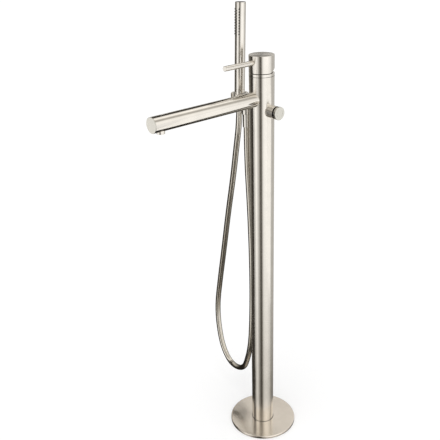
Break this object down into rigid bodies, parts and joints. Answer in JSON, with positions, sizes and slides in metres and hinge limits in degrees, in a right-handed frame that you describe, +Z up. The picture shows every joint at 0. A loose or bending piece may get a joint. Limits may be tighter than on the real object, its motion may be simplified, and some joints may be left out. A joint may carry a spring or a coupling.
{
  "type": "floor standing bath filler",
  "caption": "Round column with a floor plate, a straight horizontal spout, a cap handle with a rod lever, a side diverter knob, and a slim hand shower in a ring holder on a hanging hose.",
  "frame": {"origin": "on the finished floor at the column's axis, the centre of the floor flange's bolt circle", "axes": "+Z up the column; the spout and lever point to -Y, the diverter knob to +X, the hand shower's holder to -X"},
  "size_m": [0.2811, 0.3665, 1.0433],
  "materials": {
    "brushed_nickel": "brushed nickel, satin",
    "polished_nickel": "polished",
    "hose_skin": "smooth metal-effect skin, semi-gloss",
    "brass": "machined",
    "copper": "drawn copper tube",
    "steel": "machined stainless steel",
    "ceramic": "lapped alumina ceramic",
    "valve_plastic": "moulded acetal",
    "grey_plastic": "moulded",
    "rubber": "matt"
  },
  "bodies": {
    "root": {"aerator_insert": "valve_plastic", "aerator_sleeve": "brushed_nickel", "aerator_washer": "rubber", "arm_nipple": "brass", "base_cover": "brushed_nickel", "cartridge_base": "valve_plastic", "cartridge_housing": "valve_plastic", "cartridge_seals": "rubber", "cold_inlet": "brass", "column_boss": "steel", "column_set_screws": "steel", "column_tube": "brushed_nickel", "cover_seal": "rubber", "cradle_liner": "grey_plastic", "cradle_ring": "brushed_nickel", "diverter_bonnet": "brass", "diverter_collar": "brushed_nickel", "diverter_rings": "rubber", "diverter_spring": "steel", "dome_cover": "brushed_nickel", "fixed_disc": "ceramic", "floor_flange": "steel", "holder_arm": "brushed_nickel", "hose": "hose_skin", "hot_inlet": "brass", "outlet_nipple": "brass", "pipe_nuts": "brass", "retaining_nut": "brass", "root_hose_ferrule": "polished_nickel", "root_hose_nut": "brushed_nickel", "root_hose_washer": "rubber", "spout_end": "brushed_nickel", "spout_nipple": "brass", "spout_rings": "rubber", "spout_tube": "brushed_nickel", "supply_pipes": "copper", "trim_ring": "brushed_nickel", "valve_body": "brass", "valve_body_rings": "rubber"},
    "turner": {"cartridge_carrier": "valve_plastic", "stem_axle": "steel"},
    "handle": {"handle_cap": "brushed_nickel", "lever_rod": "brushed_nickel", "handle_grub_screw": "steel", "handle_plug": "grey_plastic", "cartridge_stem": "steel"},
    "ceramic_disc": {"moving_disc": "ceramic", "disc_driver": "valve_plastic"},
    "diverter": {"diverter_spindle": "brass", "diverter_washer": "rubber", "diverter_knob": "brushed_nickel", "knob_screw": "steel"},
    "hose_nut": {"hose_cone_nut": "brushed_nickel"},
    "handset": {"handset_tube": "brushed_nickel", "nozzle_strip": "rubber", "handset_cap": "brushed_nickel", "handset_fitting": "brass", "handset_check_valve": "valve_plastic", "handset_waterway": "valve_plastic", "swivel_washer": "rubber"}
  },
  "joints": [
    {"name": "handle_turn", "type": "hinge", "parent": "root", "child": "turner", "pos_m": [0, 0, 0.905], "axis": [0, 0, 1], "range_deg": [-50, 50]},
    {"name": "handle_tilt", "type": "hinge", "parent": "turner", "child": "handle", "pos_m": [0, 0, 0.905], "axis": [-1, 0, 0], "range_deg": [0, 22]},
    {"name": "disc_slide", "type": "slide", "parent": "turner", "child": "ceramic_disc", "axis": [0, -1, 0], "range_m": [0, 0.0047]},
    {"name": "diverter_pull", "type": "slide", "parent": "root", "child": "diverter", "axis": [1, 0, 0], "range_m": [0, 0.008], "stiffness_N_per_m": 600, "springref_m": -0.005, "deforming": ["diverter_spring"]},
    {"name": "handset_lift", "type": "slide", "parent": "root", "child": "hose_nut", "axis": [0, 0.0349, 0.9994], "range_m": [0, 0.04]},
    {"name": "handset_spin", "type": "hinge", "parent": "hose_nut", "child": "handset", "pos_m": [-0.07, 0, 0.853], "axis": [0, 0.0349, 0.9994], "continuous": true}
  ],
  "couplings": [
    {"joint": "disc_slide", "follows": "handle_tilt", "m_per_rad": 0.012}
  ]
}
